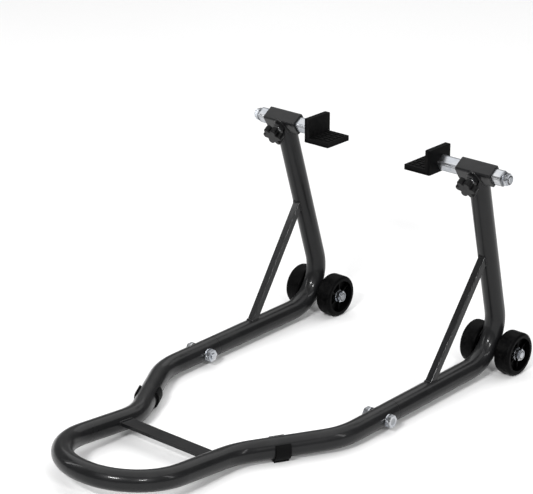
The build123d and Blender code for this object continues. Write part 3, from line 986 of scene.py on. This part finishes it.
@dataclass
class LiftPads:
    """L brackets, lugged rubbers and the bolts that hold them."""

    head: Head

    def dress(self) -> None:
        """Finishes the pads."""
        through = self.head.axis_point(1.0)
        tread_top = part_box("right_pad_bracket")[0].z + 0.0091
        plate = PowderCoat(
            "pad_plate_powder_coat",
            colour=(0.0011, 0.0011, 0.0012),
            gloss=0.4,
            shine=0.03,
            coat=0.0,
        )
        rubber = Rubber("pad_rubber_black", worn_above=tread_top)
        bolt = ZincPlate("pad_bolt_zinc", thread=Thread(through, Vector((1, 0, 0))))
        washer = ZincPlate("pad_washer_zinc", colour=(0.2, 0.203, 0.21), polish=0.3)
        nut = ZincPlate("pad_nut_zinc", polish=0.22, insert=NylonInsert(through))
        for word in SIDES:
            dress(f"{word}_pad_bracket", plate)
            dress(f"{word}_pad_rubber", rubber)
            dress(f"{word}_pad_bolt", bolt)
            dress(f"{word}_pad_washer", washer)
            dress(f"{word}_pad_nut", nut)


@dataclass
class RollingGear:
    """Wheels, bushes, axle hardware, joint hardware and the clip feet."""

    frame: TubeFrame
    rib_count: int = 6
    rib_t: float = 0.0022
    rib_in_r: float = 0.0116
    rib_out_r: float = 0.0268
    rib_low: float = 0.0036
    rib_high: float = 0.0088
    rib_edge: float = 0.0005

    def wheel_finish(self, word: str, place: str) -> MouldedPlastic:
        """The finish of one wheel, centred on it."""
        low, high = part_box(f"{word}_{place}_wheel")
        return MouldedPlastic(f"{word}_{place}_wheel_nylon", centre=(low + high) / 2)

    def rib_star(self, word: str, place: str, way: float) -> None:
        """Models the radial ribs in one face of one wheel.

        Args:
            word: left or right.
            place: inner or outer.
            way: Which face, -1 or 1 along X.
        """
        finish = self.wheel_finish(word, place)
        hub = finish.centre
        start_clean()
        middle = (self.rib_in_r + self.rib_out_r) / 2
        bpy.ops.mesh.primitive_cube_add(size=1.0, location=(0, 0, 0))
        star = bpy.context.object
        bpy.ops.object.mode_set(mode="EDIT")
        bpy.ops.mesh.select_all(action="SELECT")
        size = (self.rib_high - self.rib_low, self.rib_t, self.rib_out_r - self.rib_in_r)
        bpy.ops.transform.resize(value=size)
        bpy.ops.mesh.bevel(offset=self.rib_edge, segments=2)
        bpy.ops.mesh.select_all(action="SELECT")
        reach = way * (self.rib_low + self.rib_high) / 2
        bpy.ops.transform.translate(value=(hub.x + reach, hub.y, hub.z + middle))
        bpy.ops.mesh.spin(
            steps=self.rib_count,
            dupli=True,
            angle=2 * math.pi,
            center=(hub.x, hub.y, hub.z),
            axis=(1, 0, 0),
        )
        bpy.ops.mesh.select_all(action="SELECT")
        bpy.ops.mesh.remove_doubles(threshold=0.00001)
        bpy.ops.mesh.normals_make_consistent(inside=False)
        bpy.ops.object.mode_set(mode="OBJECT")
        face = "plus" if way > 0 else "minus"
        settle(star, f"{word}_{place}_wheel_ribs_{face}")
        bpy.ops.object.shade_smooth_by_angle(angle=math.radians(35.0))
        star.data.materials.append(bpy.data.materials.get(finish.name) or finish.make())
        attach(star, f"{word}_{place}_wheel")
        LOG.info("%s modelled with %d ribs", star.name, self.rib_count)

    def build(self) -> None:
        """Models the ribs in both faces of every wheel."""
        for word in SIDES:
            for place in ("inner", "outer"):
                for way in (-1.0, 1.0):
                    self.rib_star(word, place, way)

    def dress(self) -> None:
        """Finishes the wheels, the fasteners and the feet."""
        bush = ZincPlate("bush_steel", colour=(0.55, 0.56, 0.58), polish=0.3)
        for word in SIDES:
            for place in ("inner", "outer"):
                dress(f"{word}_{place}_wheel", self.wheel_finish(word, place))
                dress(f"{word}_{place}_bush", bush)
            dress(f"{word}_foot", Rubber("foot_rubber_black", worn_below=0.0012))
        axle = Thread(Vector((0, self.frame.axle_y, self.frame.axle_z)), Vector((1, 0, 0)))
        joint = Thread(Vector((0, self.frame.axle_y - 0.294, self.frame.rail_z)), Vector((1, 0, 0)))
        plain = ZincPlate("fastener_zinc", polish=0.22)
        dress("axle_nuts", ZincPlate("axle_nut_zinc", polish=0.22, insert=NylonInsert(axle.through)))
        dress("axle_bolts", ZincPlate("axle_bolt_zinc", thread=axle))
        dress("joint_bolts", ZincPlate("joint_bolt_zinc", thread=joint))
        for node in ("axle_washers", "joint_nuts", "joint_washers"):
            dress(node, plain)


# ---------------------------------------------------------------- studio
@dataclass
class Studio:
    """Camera, pale floor and soft lights."""

    eye: Vector = field(default_factory=lambda: Vector((1.8971, -2.1760, 1.3927)))
    aim: Vector = field(default_factory=lambda: Vector((0.0, 0.0125, 0.2583)))
    lens: float = 143.08
    floor_half: float = 12.0

    def place_camera(self) -> None:
        """Makes the camera and makes it the scene's own."""
        data = bpy.data.cameras.new("studio_camera")
        data.lens = self.lens
        data.sensor_width = 36.0
        data.sensor_fit = "HORIZONTAL"
        data.clip_end = 60.0
        camera = bpy.data.objects.new("studio_camera", data)
        camera.location = self.eye
        camera.rotation_mode = "QUATERNION"
        camera.rotation_quaternion = (self.aim - self.eye).to_track_quat("-Z", "Y")
        bpy.context.scene.collection.objects.link(camera)
        bpy.context.scene.camera = camera

    def lay_floor(self) -> None:
        """Lays the pale floor."""
        start_clean()
        bpy.ops.mesh.primitive_grid_add(x_subdivisions=2, y_subdivisions=2, size=2 * self.floor_half)
        floor = bpy.context.object
        settle(floor, "studio_floor")
        floor.data.materials.append(StudioFloor().make())

    def hang_light(self, name: str, place: Vector, size: tuple[float, float], power: float) -> None:
        """Hangs one soft box that points at the stand.

        Args:
            name: The light's name.
            place: Where it hangs.
            size: Its width and height.
            power: Its power in watts.
        """
        data = bpy.data.lights.new(name, "AREA")
        data.shape = "RECTANGLE"
        data.size, data.size_y = size
        data.energy = power
        light = bpy.data.objects.new(name, data)
        light.location = place
        light.rotation_mode = "QUATERNION"
        light.rotation_quaternion = (Vector((0, 0, 0.15)) - place).to_track_quat("-Z", "Y")
        bpy.context.scene.collection.objects.link(light)

    def light(self) -> None:
        """Sets an even room, a large overhead soft box, two strip boxes and two small boxes."""
        bpy.context.scene.view_settings.view_transform = "Standard"
        world = bpy.data.worlds.new("studio_world")
        bpy.context.scene.world = world
        world.use_nodes = True
        backdrop = world.node_tree.nodes["Background"]
        backdrop.inputs["Color"].default_value = (1.0, 1.0, 1.0, 1.0)
        backdrop.inputs["Strength"].default_value = 0.2
        self.hang_light("top_box", Vector((-0.6, 1.4, 4.4)), (8.0, 8.0), 285.0)
        self.hang_light("left_strip", Vector((-2.4, -1.5, 1.9)), (0.35, 1.8), 15.0)
        self.hang_light("right_strip", Vector((2.6, 0.6, 1.6)), (0.3, 1.6), 10.0)
        self.hang_light("front_spot", Vector((0.9, -3.1, 2.7)), (0.9, 0.28), 105.0)
        self.hang_light("side_spot", Vector((4.2, -2.2, 3.0)), (0.9, 0.28), 105.0)

    def build(self) -> None:
        """Builds the studio."""
        self.lay_floor()
        self.light()


def main() -> None:
    """Builds and dresses the stand and its studio in order."""
    studio = Studio()
    studio.place_camera()
    tubes = TubeFrame()
    head = Head(tubes)
    pads = LiftPads(head)
    gear = RollingGear(tubes)
    for assembly in (tubes, head, gear):
        assembly.build()
    for assembly in (tubes, head, pads, gear):
        assembly.dress()
    studio.build()


if __name__ == "__main__":
    main()
